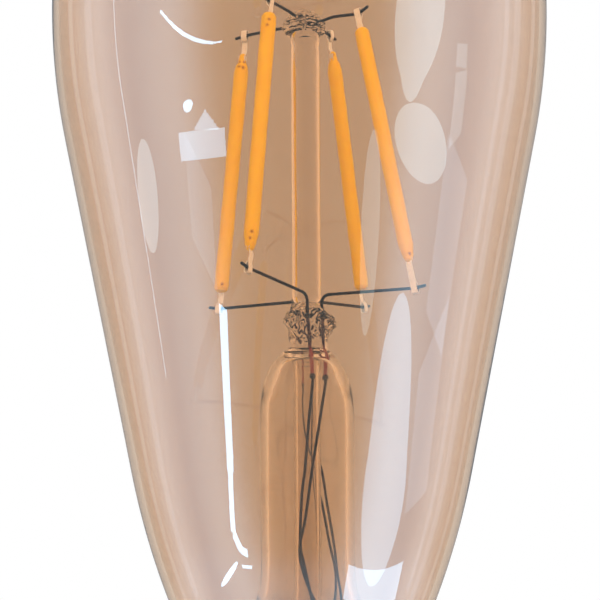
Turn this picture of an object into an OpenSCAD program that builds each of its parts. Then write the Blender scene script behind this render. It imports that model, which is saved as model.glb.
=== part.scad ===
// Teardrop LED filament bulb with a wireless driver in an E27 screw base.
// Z is the bulb's axis and points to the dome. The origin is the tip of the
// centre contact. Azimuths run from +X towards +Y. Millimetres.

/* [Glass envelope] */
// Largest diameter of the glass
glass_d = 64; // [63:0.5:65]
// Height of the widest plane above the contact tip
widest_z = 111; // [110:0.5:113]
// Wall of the blown glass
wall = 0.9; // [0.7:0.1:1]
// Radius of the shoulder above the widest plane
shoulder_r = 28; // [26:1:29]
// Radius of the long arc below the widest plane
belly_r = 90; // [86:1:94]
// Slope of the straight cone, in degrees from the axis
cone_angle = 11.8; // [11.6:0.1:12]
// Height where the cone starts to curve in to the throat
throat_z = 49.8; // [49.4:0.2:50.4]
// Radius of the throat's curve
throat_r = 95; // [92:1:98]

/* [Stem] */
// Sideways shift of the stem from the bulb's axis, as sealed
stem_shift = 0.7; // [0:0.1:0.8]
// Outer radius of the flare tube
flare_r = 5.85; // [5.6:0.05:6]
// Outer radius of the exhaust tube
exhaust_r = 1.72; // [1.5:0.02:1.8]
// Radius of the solid rod that carries the filaments
rod_r = 1.87; // [1.7:0.01:2]
// Height of the press, where the lead wires are sealed in
press_z = 65.2; // [65:0.1:65.6]
// Height of the press's top, where the rod starts
press_top_z = 71.2; // [71:0.1:71.5]
// Height of the melted button at the rod's end
button_z = 106.9; // [106.5:0.1:107.2]

/* [Filament cage] */
// Azimuth of the first filament; the others follow every 90 degrees
first_azimuth = -30; // [-45:1:0]
// Reach of each lower weld from the stem's axis
low_reach = [15.3, 14.0, 13.2, 15.6]; // [13:0.1:16]
// Reach of each upper weld from the stem's axis
high_reach = [7.8, 8.7, 9.1, 6.7]; // [6:0.1:10]
// Height of each lower weld
low_z = [71.7, 73.4, 72.0, 73.4]; // [71:0.1:74]
// Height of each upper weld
high_z = [108.3, 108.8, 108.3, 108.7]; // [108:0.1:109]
// Length of the phosphor coat on each filament
coat_len = 32; // [30:0.5:32]
// Radius of the phosphor coat
coat_r = 0.95; // [0.9:0.05:1.1]
// Gap from each lower weld to the coat
coat_gap = [3.4, 2.2, 2.1, 2.3]; // [2:0.1:3.4]

/* [Screw base] */
// Largest radius of the thread
thread_r = 13.1; // [13.05:0.01:13.15]
// Smallest radius of the thread
root_r = 12.13; // [12.1:0.01:12.15]
// Pitch of the thread
pitch = 3.629; // [3.6:0.001:3.65]
// Radius of the plain skirt above the thread
skirt_r = 13.35; // [13.2:0.05:13.5]
// Height of the skirt's top, where the collar sits
skirt_top_z = 24; // [23.8:0.1:24.2]

/* [Driver] */
// Width of the driver board
board_w = 19; // [17:0.5:19]
// Height of the driver board
board_h = 15.8; // [15:0.2:15.8]
// Height of the wireless board
radio_h = 17; // [15:0.5:17]

/* [Hidden] */
$fn = 72;

// Colours
amber = [0.80, 0.66, 0.60, 0.35];
clear = [0.84, 0.80, 0.74, 0.45];
phosphor = [0.98, 0.63, 0.19];
steel = [0.62, 0.60, 0.58];
copper = [0.62, 0.26, 0.17];
nickel = [0.74, 0.72, 0.69];
offwhite = [0.92, 0.91, 0.88];
black = [0.10, 0.10, 0.11];
green = [0.13, 0.37, 0.24];

// Glass outline: five tangent arcs and a straight cone
crown_angle = 40;
throat_angle = 24;
neck_fillet = 6;
neck_end_z = 26.5;
shoulder_c = [glass_d / 2 - shoulder_r, widest_z];
crown_r = shoulder_r + shoulder_c.x / cos(crown_angle);
crown_c = [0, widest_z - shoulder_c.x * tan(crown_angle)];
belly_c = [glass_d / 2 - belly_r, widest_z];
belly_end = belly_c + belly_r * [cos(cone_angle), -sin(cone_angle)];
cone_end = [belly_end.x - (belly_end.y - throat_z) * tan(cone_angle), throat_z];
throat_c = cone_end - throat_r * [cos(cone_angle), -sin(cone_angle)];
throat_end = throat_c + throat_r * [cos(throat_angle), -sin(throat_angle)];
fillet_c = throat_end + neck_fillet * [cos(throat_angle), -sin(throat_angle)];
neck_r = fillet_c.x - neck_fillet;

// Stem
flare_wall = 1;
flare_rim_z = 28.4;
exhaust_tip_z = 25.5;
wire_r = 0.2;
outer_wire_r = 0.16;
weld_r = 0.32;
weld_z = 61.6;
bead_z = 69.3;
bend_z = 72.1;
bend_setback = 0.9;
wire_tail = 1.3;
end_gap = 0.02;
wire_sides = 8;
thread_sides = 40;
thread_rows = 36;
cross_z = [108.25, 108.7];
// Plan position of each lead wire in the press, at its top and at its foot
lead_top = [[1.9, -1.6], [0.1, -2.4], [-0.6, 2.4], [0.9, 2.5]];
lead_foot = [[2.2, -1.6], [0.65, -2.4], [-0.8, 2.4], [1.1, 2.5]];

// Routes of the copper wires from the press down to the driver board
outer_routes = [
    [[2.2, -1.9, 56], [1.3, -2.3, 50.3], [0.4, -2.3, 44], [-0.3, -2.3, 40],
     [0.6, -2.3, 36], [3.0, -1.7, 30], [4.2, -0.85, 25.5]],
    [[0.9, -2.8, 56], [0.4, -3.0, 50], [0, -3.1, 46.6], [-0.2, -3.1, 41],
     [0.2, -3.0, 38.5], [1.0, -2.8, 34.5], [1.8, -2.1, 29.5], [1.9, -2.0, 26.2],
     [1.5, -0.85, 24.5]],
    [[-0.2, 2.6, 58.5], [0.2, 3.5, 55.5], [1.2, 3.8, 53], [2.5, 3.1, 50.9],
     [3.3, 2.2, 45.9], [4.0, 1.7, 41.5], [4.5, 1.4, 37.5], [4.9, 1.2, 33.5],
     [4.2, 0.85, 25.5]],
    [[1.7, 2.6, 57], [1.6, 2.8, 52], [2.2, 2.9, 48], [2.7, 2.9, 45.9],
     [3.5, 2.6, 41.5], [4.3, 2.3, 37.5], [3.9, 2.3, 33], [2.3, 2.2, 28.5],
     [2.0, 2.0, 26.2], [1.5, 0.85, 24.5]]
];
pad_x = [4.2, 1.5, 4.2, 1.5];
pad_side = [-1, -1, 1, 1];
pad_y = 0.85;
pad_z = 23.2;

// Filament
strip_w = 1;
strip_t = 0.5;
tab_t = 0.15;
tab_past = 0.7;
tab_lap = 1.5;
strip_inset = 0.3;
chip_count = 28;

// Base
bead_top_z = 7.3;
ledge_z = 21.4;
sheet = 0.3;
collar_z = 30.5;
insulator_r = 11.7;

// Driver
board_t = 1;
board_z = 8.2;
board_face = board_t / 2;
radio_y = 5.2;
radio_t = 0.8;
radio_w = 12.4;
radio_z = 11.6;
fuse_at = [7.2, 2.2];
capacitor_at = [-4.4, -4.0];
inductor_at = [4.4, -3.9];

// ---------------------------------------------------------------- helpers

// Points on an arc about c from angle a0 to a1
function arc(c, r, a0, a1, n, first = 0) =
    [for (i = [first:n]) let (a = a0 + (a1 - a0) * i / n) c + r * [cos(a), sin(a)]];

function reversed(v) = [for (i = [len(v) - 1:-1:0]) v[i]];

function unit(v) = v / norm(v);

function smooth(x) = let (t = max(0, min(1, x))) t * t * (3 - 2 * t);

function azimuth(i) = first_azimuth - 90 * i;

// A path whose inner corners are rounded, each starting at most d before it
function rounded_path(p, d, n = 5) = concat([p[0]], [
    for (i = [1:len(p) - 2])
        let (
            back = min(d, norm(p[i] - p[i - 1]) * 0.45),
            ahead = min(d, norm(p[i + 1] - p[i]) * 0.45),
            a = p[i] + unit(p[i - 1] - p[i]) * back,
            b = p[i] + unit(p[i + 1] - p[i]) * ahead
        )
        for (k = [0:n])
            let (t = k / n)
            a * (1 - t) * (1 - t) + p[i] * 2 * t * (1 - t) + b * t * t
], [p[len(p) - 1]]);

function tangent(p, i) = unit(p[min(i + 1, len(p) - 1)] - p[max(i - 1, 0)]);

// A skin through rings of equal size: capped at both ends, or closed on itself
module loft(rings, closed = false) {
    n = len(rings);
    k = len(rings[0]);
    walls = [
        for (i = [0:n - (closed ? 1 : 2)])
            for (j = [0:k - 1])
                let (m = (j + 1) % k, a = i * k, b = (i + 1) % n * k)
                for (f = [[a + j, b + j, a + m], [a + m, b + j, b + m]]) f
    ];
    caps = [[for (j = [0:k - 1]) j], [for (j = [k - 1:-1:0]) (n - 1) * k + j]];
    polyhedron([for (ring = rings) for (p = ring) p], concat(walls, closed ? [] : caps),
               convexity = 8);
}

// A round wire along a path; side is a direction that the path never takes
module wire(path, r, side) {
    loft([
        for (i = [0:len(path) - 1])
            let (t = tangent(path, i), u = unit(cross(t, side)), v = cross(t, u))
            [for (j = [0:wire_sides - 1])
                let (a = 360 * j / wire_sides) path[i] + r * (cos(a) * u + sin(a) * v)]
    ]);
}

// A straight round rod between two points
module rod_between(a, b, r) {
    d = b - a;
    translate(a)
        rotate([0, acos(d.z / norm(d)), atan2(d.y, d.x)])
            cylinder(h = norm(d), r = r);
}

module block(low, high) {
    translate(low) cube(high - low);
}

module on_stem() {
    translate([stem_shift, 0, 0]) children();
}

// ------------------------------------------------------------------ glass

// The glass outline from the crown's pole to the neck's end, moved in by depth
function glass_outline(depth) = concat(
    [[0, crown_c.y + crown_r - depth]],
    arc(crown_c, crown_r - depth, 90, crown_angle, 10, 1),
    arc(shoulder_c, shoulder_r - depth, crown_angle, 0, 7, 1),
    arc(belly_c, belly_r - depth, 0, -cone_angle, 5, 1),
    arc(throat_c, throat_r - depth, -cone_angle, -throat_angle, 6),
    arc(fillet_c, neck_fillet + depth, 180 - throat_angle, 180, 4, 1),
    [[neck_r - depth, neck_end_z]]
);

module glass_envelope() {
    color(amber)
        rotate_extrude()
            polygon(concat(glass_outline(0), reversed(glass_outline(wall))));
}

// The flare's outline: over the dome, down the tube, round the rim and back up
flare_outline = [
    [2.9, press_z], [3.5, press_z - 0.6], [4.4, press_z - 1.8], [5.2, press_z - 3.3],
    [flare_r - 0.2, press_z - 4.9], [flare_r, press_z - 7.2], [flare_r, 50],
    [flare_r, 37], [flare_r + 0.5, 34.6], [flare_r + 1.8, 32.8],
    [flare_r + 3.8, 31.2], [flare_r + 5.9, 30.1], [neck_r - wall - 0.15, 29.4],
    [neck_r - wall - 0.15, flare_rim_z], [flare_r + 5.5, 29.1],
    [flare_r + 3.1, 30.4], [flare_r + 1.1, 32.2], [flare_r - 0.4, 34.4],
    [flare_r - flare_wall, 37], [flare_r - flare_wall, 50],
    [flare_r - flare_wall, press_z - 7.4], [4.5, press_z - 5.2],
    [3.7, press_z - 3.2], [2.7, press_z - 1.7], [2.0, press_z - 1.2]
];
flare_sides = 32;

function stem_lean(z) = stem_shift * smooth((z - 29.6) / 5);

function ring(r, z) = [
    for (j = [0:flare_sides - 1])
        let (a = -360 * j / flare_sides) [stem_lean(z) + r * cos(a), r * sin(a), z]
];

module lead_bores(r) {
    for (i = [0:3])
        rod_between(
            concat(lead_foot[i] + (lead_foot[i] - lead_top[i]) * 0.3, [weld_z - 2.31]),
            concat(lead_top[i] + (lead_top[i] - lead_foot[i]) * 0.3, [bead_z + 2.31]),
            r
        );
}

module stem_flare() {
    color(clear)
        difference() {
            loft([for (p = flare_outline) ring(p.x, p.y)]);
            on_stem() lead_bores(wire_r + 0.03);
        }
}

// The press is a pinched lump: rings of half-width, half-depth and height
press_rings = [
    [2.85, 2.85, 0], [2.8, 2.9, 1.2], [2.95, 3.0, 2.6], [3.2, 3.1, 3.7],
    [3.1, 3.05, 4.7], [2.6, 2.9, 5.5], [2.25, 2.7, 6]
];

module stem_press() {
    color(clear)
        on_stem()
            difference() {
                loft([
                    for (p = press_rings)
                        [for (j = [0:flare_sides - 1])
                            let (a = 360 * j / flare_sides)
                            [0.15 + p.x * cos(a), p.y * sin(a), press_z + p.z]]
                ]);
                lead_bores(wire_r + 0.03);
                for (p = lead_top)
                    translate([p.x, p.y, bead_z]) {
                        sphere(r = weld_r + 0.03, $fn = 24);
                        cylinder(h = 3, r = wire_r + 0.05, $fn = 24);
                    }
            }
}

module exhaust_tube() {
    bore_r = exhaust_r - 0.5;
    color(clear)
        on_stem()
            rotate_extrude()
                polygon(concat(
                    [[bore_r, press_z - 1.2], [exhaust_r, press_z - 1.2]],
                    [[exhaust_r, exhaust_tip_z + 2.4], [exhaust_r * 0.8, exhaust_tip_z + 0.9]],
                    [[exhaust_r * 0.35, exhaust_tip_z], [0, exhaust_tip_z]],
                    [[0, exhaust_tip_z + 1.2], [bore_r, exhaust_tip_z + 3]]
                ));
}

module support_rod() {
    color(clear)
        on_stem()
            translate([0, 0, press_top_z])
                cylinder(h = button_z - press_top_z, r = rod_r);
}

module top_button() {
    color(clear)
        on_stem()
            difference() {
                rotate_extrude()
                    polygon([
                        [0, button_z], [rod_r + 0.2, button_z], [2.8, button_z + 0.5],
                        [3.1, button_z + 1.2], [3.0, button_z + 2.0],
                        [2.5, button_z + 2.7], [1.6, button_z + 3.2], [0, button_z + 3.4]
                    ]);
                for (i = [0:1])
                    translate([0, 0, cross_z[i]])
                        rotate([0, 90, first_azimuth + 90 * i])
                            translate([0, 0, -5])
                                cylinder(h = 10, r = wire_r + 0.01, $fn = 24);
            }
}

// ------------------------------------------------------------------ wires

function heading(i) = [cos(azimuth(i)), sin(azimuth(i)), 0];
function across(i) = [-sin(azimuth(i)), cos(azimuth(i)), 0];
function low_weld(i) = low_reach[i] * heading(i) + [0, 0, low_z[i]];
function high_weld(i) = high_reach[i] * heading(i) + [0, 0, high_z[i]];

// A nickel wire from the press to a filament's lower tab
module inner_lead(i) {
    foot = [lead_top[i].x, lead_top[i].y, bead_z + end_gap];
    bend = [lead_top[i].x, lead_top[i].y, bend_z];
    out = unit(low_weld(i) - bend);
    path = [foot, bend, low_weld(i) + wire_tail * out];
    color(steel) on_stem() wire(rounded_path(path, bend_setback), wire_r, across(i));
}

// A wire through the button that joins two opposite upper tabs
module bridge_wire(i) {
    a = high_weld(i);
    b = high_weld(i + 2);
    inside = 3.6;
    path = [
        a + wire_tail * heading(i), a, inside * heading(i) + [0, 0, cross_z[i]],
        -inside * heading(i) + [0, 0, cross_z[i]], b, b - wire_tail * heading(i)
    ];
    color(steel) on_stem() wire(rounded_path(path, 0.6, 3), wire_r, across(i));
}

module dumet_seals() {
    color(copper)
        on_stem()
            for (i = [0:3])
                rod_between(
                    concat(lead_foot[i], [weld_z]), concat(lead_top[i], [bead_z]), wire_r
                );
}

module lead_welds() {
    color(steel)
        on_stem()
            for (i = [0:3])
                difference() {
                    translate([lead_foot[i].x, lead_foot[i].y, weld_z])
                        sphere(r = weld_r, $fn = 24);
                    translate([lead_foot[i].x, lead_foot[i].y, weld_z])
                        cylinder(h = 1, r = wire_r + 0.02, $fn = 24);
                    translate([lead_foot[i].x, lead_foot[i].y, weld_z - 1])
                        cylinder(h = 1, r = outer_wire_r + 0.03, $fn = 24);
                }
}

// A copper wire from a weld under the press to its pad on the driver board
module outer_lead(i) {
    start = [lead_foot[i].x + stem_shift, lead_foot[i].y, weld_z - end_gap];
    end = [pad_x[i], pad_side[i] * pad_y, pad_z];
    path = concat([start, start - [0, 0, 1]], outer_routes[i], [end]);
    color(copper) wire(rounded_path(path, 1.6, 2), outer_wire_r, [1, 0, 0]);
}

// -------------------------------------------------------------- filaments

function filament_len(i) = norm(high_weld(i) - low_weld(i));

// Places children along filament i, from its lower weld up to its upper weld
module on_filament(i) {
    lean = atan2(low_reach[i] - high_reach[i], high_z[i] - low_z[i]);
    on_stem()
        rotate([0, 0, azimuth(i)])
            translate([low_reach[i], 0, low_z[i]])
                rotate([0, -lean, 0])
                    children();
}

module filament_coat(i) {
    tip = 0.45;
    cavity_w = strip_w / 2;
    color(phosphor)
        on_filament(i)
            translate([0, 0, coat_gap[i]])
                difference() {
                    rotate_extrude($fn = 36)
                        polygon(concat(
                            [[0, 0]], arc([coat_r - tip, tip], tip, -90, 0, 4),
                            arc([coat_r - tip, coat_len - tip], tip, 0, 90, 4),
                            [[0, coat_len]]
                        ));
                    block([-cavity_w, -strip_t / 2, strip_inset],
                          [cavity_w, strip_t / 2 + tab_t, coat_len - strip_inset]);
                    block([-cavity_w, strip_t / 2, -1],
                          [cavity_w, strip_t / 2 + tab_t, coat_len + 1]);
                }
}

module filament_strip(i) {
    color(offwhite)
        on_filament(i)
            block([-strip_w / 2, -strip_t / 2, coat_gap[i] + strip_inset],
                  [strip_w / 2, strip_t / 2, coat_gap[i] + coat_len - strip_inset]);
}

module filament_chips(i) {
    chip = [0.5, 0.12, 0.8];
    room = coat_len - 2 * (tab_lap + 0.6);
    step = room / chip_count;
    color("gold")
        on_filament(i)
            for (k = [0:chip_count - 1])
                translate([-chip.x / 2, strip_t / 2,
                           coat_gap[i] + tab_lap + 0.6 + step * (k + 0.5) - chip.z / 2])
                    cube(chip);
}

// A metal tab that leaves the coat and folds round the wire at z = 0
module filament_tab(inner_end) {
    leaf = strip_t / 2;
    rotate([90, 0, 90])
        translate([0, 0, -strip_w / 2])
            linear_extrude(strip_w)
                polygon([
                    [leaf, inner_end], [leaf + tab_t, inner_end],
                    [leaf + tab_t, -tab_past], [-leaf - tab_t, -tab_past],
                    [-leaf - tab_t, 0.5], [-leaf, 0.5],
                    [-leaf, tab_t - tab_past], [leaf, tab_t - tab_past]
                ]);
}

module filament_tabs(i) {
    gap_above = filament_len(i) - coat_gap[i] - coat_len;
    color(nickel)
        on_filament(i) {
            filament_tab(coat_gap[i] + tab_lap);
            translate([0, 0, filament_len(i)])
                mirror([0, 0, 1])
                    filament_tab(gap_above + tab_lap);
        }
}

// ------------------------------------------------------------------- base

module collar() {
    lip_r = throat_end.x + 0.12;
    seat_r = neck_r + 0.5;
    color(offwhite)
        rotate_extrude()
            polygon([
                [10.3, 18.2], [11.6, 18.2], [11.6, skirt_top_z],
                [skirt_r + 0.35, skirt_top_z], [skirt_r + 0.8, skirt_top_z + 0.4],
                [lip_r + 0.8, 28.6], [lip_r + 1.15, 29.6], [lip_r + 1.1, 30.1],
                [lip_r + 0.8, collar_z], [lip_r, collar_z], [seat_r, 29.4],
                [seat_r, neck_end_z], [neck_r - 1.9, neck_end_z],
                [neck_r - 1.9, 25], [10.3, 23.4]
            ]);
}

module cement_ring() {
    color("tan")
        translate([0, 0, neck_end_z])
            difference() {
                cylinder(h = 1.8, r = neck_r + 0.46);
                translate([0, 0, -1]) cylinder(h = 4, r = neck_r + 0.04);
            }
}

// Radius of the rolled thread at azimuth a and height z, fading out at both ends
function thread_at(a, z) =
    let (fade = smooth((z - bead_top_z) / 1.5) * smooth((ledge_z - z) / 1.5))
    root_r + (thread_r - root_r) * fade * (1 + cos(360 * z / pitch - a)) / 2;

// One ring of the thread's sheet, at the given depth under its outer face
function thread_ring(z, depth) = [
    for (j = [0:thread_sides - 1])
        let (a = -360 * j / thread_sides, r = thread_at(a, z) - depth)
        [r * cos(a), r * sin(a), z]
];

module screw_shell() {
    z0 = bead_top_z - 0.3;
    z1 = ledge_z + 0.3;
    step = (z1 - z0) / thread_rows;
    color(nickel) {
        loft(concat(
            [for (i = [0:thread_rows]) thread_ring(z1 - i * step, 0)],
            [for (i = [0:thread_rows]) thread_ring(z0 + i * step, sheet)]
        ), closed = true);
        rotate_extrude()
            polygon([
                [insulator_r + 0.05, 6.3], [12.3, 6.3], [12.5, 6.6],
                [12.5, bead_top_z], [insulator_r + 0.05, bead_top_z]
            ]);
        rotate_extrude()
            polygon([
                [insulator_r + 0.05, ledge_z], [skirt_r, ledge_z],
                [skirt_r, skirt_top_z], [skirt_r - 0.35, skirt_top_z],
                [skirt_r - 0.35, ledge_z + 0.7], [insulator_r + 0.05, ledge_z + 0.7]
            ]);
    }
}

module base_insulator() {
    color(black)
        rotate_extrude()
            polygon([
                [2.05, 1.3], [6.2, 1.3], [7.2, 1.8], [11.3, 5.4], [insulator_r, 6.2],
                [insulator_r, 8], [10.6, 8], [9.6, 5.6], [4, 4.4], [2.05, 4.4]
            ]);
}

// A hollow rivet whose dished head is the centre contact
module centre_contact() {
    color(nickel)
        rotate_extrude()
            polygon([
                [0, 0], [1.6, 0], [3, 0.12], [4.4, 0.6], [5, 1.1], [5, 1.3], [2, 1.3],
                [2, 4.9], [1.3, 4.9], [1.3, 1], [0, 1]
            ]);
}

// ----------------------------------------------------------------- driver

module driver_board() {
    color(green)
        block([-board_w / 2, -board_face, board_z],
              [board_w / 2, board_face, board_z + board_h]);
}

// An aluminium can with a crimp groove, standing in front of the board
module bulk_capacitor() {
    can_r = 3.15;
    z0 = board_z + 1;
    height = 10;
    color("dimgray")
        translate([capacitor_at.x, capacitor_at.y, z0])
            rotate_extrude()
                polygon([
                    [0, 0], [can_r - 0.4, 0], [can_r, 0.4], [can_r, 1.4],
                    [can_r - 0.3, 1.7], [can_r, 2], [can_r, height - 0.3],
                    [can_r - 0.3, height], [0, height]
                ]);
}

module inductor_core() {
    flange_r = 2.9;
    height = 5.8;
    color("darkslategray")
        translate([inductor_at.x, inductor_at.y, board_z + 1])
            rotate_extrude()
                polygon([
                    [0, 0], [flange_r, 0], [flange_r, 0.8], [1.3, 0.8],
                    [1.3, height - 0.8], [flange_r, height - 0.8],
                    [flange_r, height], [0, height]
                ]);
}

module inductor_coil() {
    color(copper)
        translate([inductor_at.x, inductor_at.y, board_z + 1.85])
            difference() {
                cylinder(h = 4.1, r = 2.5);
                translate([0, 0, -1]) cylinder(h = 7, r = 1.35);
            }
}

module film_capacitor() {
    color("firebrick")
        block([-8.3, board_face, board_z + 1.2], [-1.3, board_face + 3.2, board_z + 7.2]);
}

// A chip package raised on two rows of legs that stand on the board's face;
// near and far are the leg's ends in Y
module leaded_package(low, high, legs, leg_w, near, far) {
    leg_h = 0.7;
    step = (high.x - low.x) / legs;
    block(low, high);
    for (k = [0:legs - 1])
        for (z = [low.z - leg_h, high.z])
            block([low.x + step * (k + 0.5) - leg_w / 2, near, z],
                  [low.x + step * (k + 0.5) + leg_w / 2, far, z + leg_h]);
}

module bridge_rectifier() {
    color(black)
        leaded_package([0.6, board_face + 0.1, board_z + 1.8],
                       [5.2, board_face + 1.9, board_z + 4.6], 2, 0.7,
                       board_face, board_face + 0.6);
}

module driver_chip() {
    color(black)
        leaded_package([-2.45, board_face + 0.1, board_z + 8.4],
                       [2.45, board_face + 1.7, board_z + 11.4], 4, 0.45,
                       board_face, board_face + 0.6);
}

module channel_mosfets() {
    color(black)
        for (x = [0.9, 5.1])
            leaded_package([x, -board_face - 1.6, board_z + 9.6],
                           [x + 2.6, -board_face - 0.1, board_z + 11.8], 2, 0.5,
                           -board_face - 0.6, -board_face);
}

// A fusible resistor between the centre contact's wire and the board
module fuse_resistor() {
    body_z = board_z + 1.1;
    body_h = 5;
    lead_r = 0.25;
    top = [fuse_at.x, fuse_at.y, body_z + body_h + 0.7];
    color("lightsteelblue") {
        translate([fuse_at.x, fuse_at.y, body_z]) cylinder(h = body_h, r = 1);
        rod_between([fuse_at.x, fuse_at.y, body_z - 0.5],
                    [fuse_at.x, fuse_at.y, body_z + 0.1], lead_r);
        rod_between(top - [0, 0, 0.8], top, lead_r);
        translate(top) sphere(r = lead_r, $fn = 24);
        rod_between(top, [fuse_at.x, board_face, top.z], lead_r);
    }
}

// Small resistors and capacitors on both faces of the board
module surface_parts() {
    size = [1.6, 0.5, 0.8];
    front = [[-1.2, 8.8], [-1.2, 10.6], [-1.2, 12.4], [2.2, 7.5], [6.0, 7.5]];
    back = [[-5.2, 9.2], [-5.2, 10.8], [-7.6, 9.2], [3.4, 6.4], [3.4, 8.6]];
    color("wheat") {
        for (p = front)
            translate([p.x, -board_face - size.y, board_z + p.y]) cube(size);
        for (p = back)
            translate([p.x, board_face, board_z + p.y]) cube(size);
    }
}

// Solder that joins the four copper wires to the board's top pads
module output_joints() {
    joint_r = 0.6;
    color(nickel)
        for (i = [0:3])
            difference() {
                translate([pad_x[i], pad_side[i] * pad_y, pad_z])
                    sphere(r = joint_r, $fn = 24);
                block([pad_x[i] - 1, -board_face, pad_z - 1],
                      [pad_x[i] + 1, board_face, pad_z + 1]);
                translate([pad_x[i], pad_side[i] * pad_y, pad_z])
                    cylinder(h = 1, r = outer_wire_r + 0.02, $fn = 24);
            }
}

module wifi_board() {
    color("darkgreen")
        block([-radio_w / 2, radio_y, radio_z],
              [radio_w / 2, radio_y + radio_t, radio_z + radio_h]);
}

module wifi_shield() {
    y0 = radio_y + radio_t;
    skin = 0.2;
    low = [-4.5, y0, radio_z + 1];
    high = [4.5, y0 + 1.8, radio_z + 9];
    color(nickel)
        difference() {
            block(low, high);
            block(low + [skin, -1, skin], high - [skin, skin, skin]);
        }
}

// A folded strip aerial above the metal shell
module wifi_antenna() {
    y0 = radio_y + radio_t;
    line = 0.5;
    thick = 0.08;
    folds = 5;
    pitch_x = 2;
    x0 = -pitch_x * folds / 2;
    low_end = radio_z + 12.4;
    high_end = radio_z + 16;
    color(copper)
        for (k = [0:folds]) {
            block([x0 + k * pitch_x - line / 2, y0, low_end],
                  [x0 + k * pitch_x + line / 2, y0 + thick, high_end]);
            if (k < folds)
                block([x0 + k * pitch_x, y0, k % 2 == 0 ? high_end - line : low_end],
                      [x0 + (k + 1) * pitch_x, y0 + thick,
                       k % 2 == 0 ? high_end : low_end + line]);
        }
}

// The pin strip that joins the wireless board to the driver board
module board_header() {
    color(black)
        block([-5, board_face + 2, board_z + 12.9], [5, radio_y, board_z + 14]);
    color("gold")
        for (k = [0:6])
            block([-4.2 + k * 1.4 - 0.2, board_face, board_z + 13.25],
                  [-4.2 + k * 1.4 + 0.2, board_face + 2, board_z + 13.65]);
}

module live_wire() {
    path = [
        [0, 0, 1.4], [0, 0, 5], [1.6, 0.7, 6.4], [5.4, 1.8, 6.8],
        [fuse_at.x, fuse_at.y, 7.6], [fuse_at.x, fuse_at.y, board_z + 0.6]
    ];
    color("red") wire(rounded_path(path, 0.8, 3), 0.3, [0.3, -1, 0]);
}

module neutral_wire() {
    path = [
        [-8.6, -board_face - 0.3, board_z + 3.2], [-8.6, -board_face - 0.3, board_z + 1.4],
        [-9.2, -1.2, board_z + 0.7], [-10.9, -1.4, board_z + 0.9],
        [-11.4, -1.4, board_z + 1.6]
    ];
    color("white") wire(rounded_path(path, 0.6, 3), 0.3, [0, 1, 0]);
}

// ---------------------------------------------------------------- drawing

glass_envelope();
stem_flare();
stem_press();
exhaust_tube();
support_rod();
top_button();
bridge_wire(0);  // bridge_wire_1
bridge_wire(1);  // bridge_wire_2
inner_lead(0);  // inner_lead_1
inner_lead(1);  // inner_lead_2
inner_lead(2);  // inner_lead_3
inner_lead(3);  // inner_lead_4
dumet_seals();
lead_welds();
outer_lead(0);  // outer_lead_1
outer_lead(1);  // outer_lead_2
outer_lead(2);  // outer_lead_3
outer_lead(3);  // outer_lead_4
filament_coat(0);  // filament_coat_1
filament_coat(1);  // filament_coat_2
filament_coat(2);  // filament_coat_3
filament_coat(3);  // filament_coat_4
filament_strip(0);  // filament_strip_1
filament_strip(1);  // filament_strip_2
filament_strip(2);  // filament_strip_3
filament_strip(3);  // filament_strip_4
filament_chips(0);  // filament_chips_1
filament_chips(1);  // filament_chips_2
filament_chips(2);  // filament_chips_3
filament_chips(3);  // filament_chips_4
filament_tabs(0);  // filament_tabs_1
filament_tabs(1);  // filament_tabs_2
filament_tabs(2);  // filament_tabs_3
filament_tabs(3);  // filament_tabs_4
collar();
cement_ring();
screw_shell();
base_insulator();
centre_contact();
driver_board();
bulk_capacitor();
inductor_core();
inductor_coil();
film_capacitor();
bridge_rectifier();
driver_chip();
channel_mosfets();
fuse_resistor();
surface_parts();
output_joints();
wifi_board();
wifi_shield();
wifi_antenna();
board_header();
live_wire();
neutral_wire();
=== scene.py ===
"""Looks of the teardrop filament bulb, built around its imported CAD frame.

Sizes are in millimetres and become metres where a mesh is made. Z is the bulb's axis and
points to the dome, and the origin is the tip of the centre contact. The camera looks along
+Y, so -X is the left of the picture.
"""

import math

import bmesh
import bpy
import numpy as np
from mathutils import Matrix, Vector, noise

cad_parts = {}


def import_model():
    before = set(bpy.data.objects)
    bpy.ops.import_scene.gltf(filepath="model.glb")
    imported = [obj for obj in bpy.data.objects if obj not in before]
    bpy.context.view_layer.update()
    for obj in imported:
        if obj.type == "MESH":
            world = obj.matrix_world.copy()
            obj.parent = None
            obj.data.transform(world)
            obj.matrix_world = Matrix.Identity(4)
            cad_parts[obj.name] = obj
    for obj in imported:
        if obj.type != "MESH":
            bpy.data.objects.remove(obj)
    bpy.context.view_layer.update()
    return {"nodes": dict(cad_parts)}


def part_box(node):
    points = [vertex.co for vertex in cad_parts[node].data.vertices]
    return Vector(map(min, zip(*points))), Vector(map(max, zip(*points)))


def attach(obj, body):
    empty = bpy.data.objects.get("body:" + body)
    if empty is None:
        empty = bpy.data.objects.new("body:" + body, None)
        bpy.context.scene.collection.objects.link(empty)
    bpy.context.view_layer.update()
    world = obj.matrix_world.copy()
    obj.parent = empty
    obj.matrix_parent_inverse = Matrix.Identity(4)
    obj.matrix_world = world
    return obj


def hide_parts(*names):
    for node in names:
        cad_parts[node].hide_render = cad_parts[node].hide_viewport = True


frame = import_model()
MM = 0.001

# --------------------------------------------------------------- driving sizes

# Glass outline: tangent arcs and a straight cone
GLASS_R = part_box("glass_envelope")[1].x / MM
NECK_END_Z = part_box("glass_envelope")[0].z / MM
WIDEST_Z = 111
WALL = 0.9
SHOULDER_R = 28
BELLY_R = 90
CONE_ANGLE = 11.8
CROWN_ANGLE = 40
THROAT_Z = 49.8
THROAT_R = 95
THROAT_ANGLE = 24
NECK_FILLET = 6

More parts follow.
